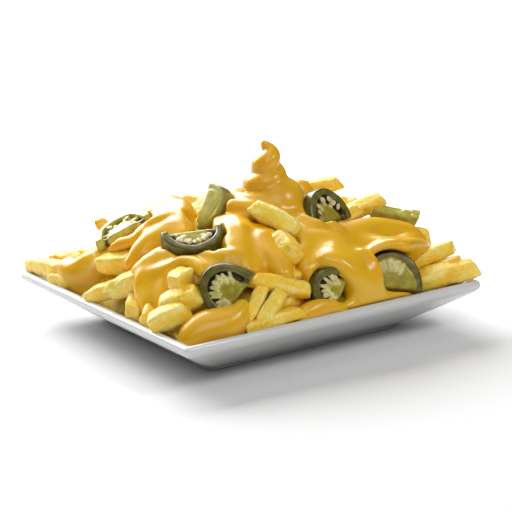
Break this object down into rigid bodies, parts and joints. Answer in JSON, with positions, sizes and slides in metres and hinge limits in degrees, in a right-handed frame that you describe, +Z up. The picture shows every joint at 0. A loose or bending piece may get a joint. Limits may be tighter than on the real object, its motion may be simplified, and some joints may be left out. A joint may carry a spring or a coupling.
{
  "type": "plate of cheese fries",
  "caption": "Square white plate heaped with fries under a poured cheese sauce with a piped swirl, topped with jalapeno half slices.",
  "frame": {"origin": "bottom centre of the plate's foot ring, on the surface it stands on", "axes": "+Z up; the sides of the square plate run along X and Y; -Y is the plate's front right side and -X its front left side as the dish is served"},
  "size_m": [0.2, 0.2, 0.114],
  "materials": {
    "porcelain": "gloss white glaze",
    "fries": "crisp fried potato, satin with oily specks",
    "cheese": "smooth glossy melted cheese sauce",
    "pepper": "moist olive green pickled pepper"
  },
  "bodies": {
    "root": {"plate": "porcelain", "fries_heap": "fries", "cheese_sauce": "cheese", "cheese_pool_front": "cheese", "cheese_pool_side": "cheese", "jalapeno_01": "pepper", "jalapeno_02": "pepper", "jalapeno_03": "pepper", "jalapeno_04": "pepper", "jalapeno_05": "pepper", "jalapeno_06": "pepper", "jalapeno_07": "pepper", "jalapeno_08": "pepper", "jalapeno_09": "pepper", "jalapeno_10": "pepper", "jalapeno_11": "pepper"}
  },
  "joints": []
}
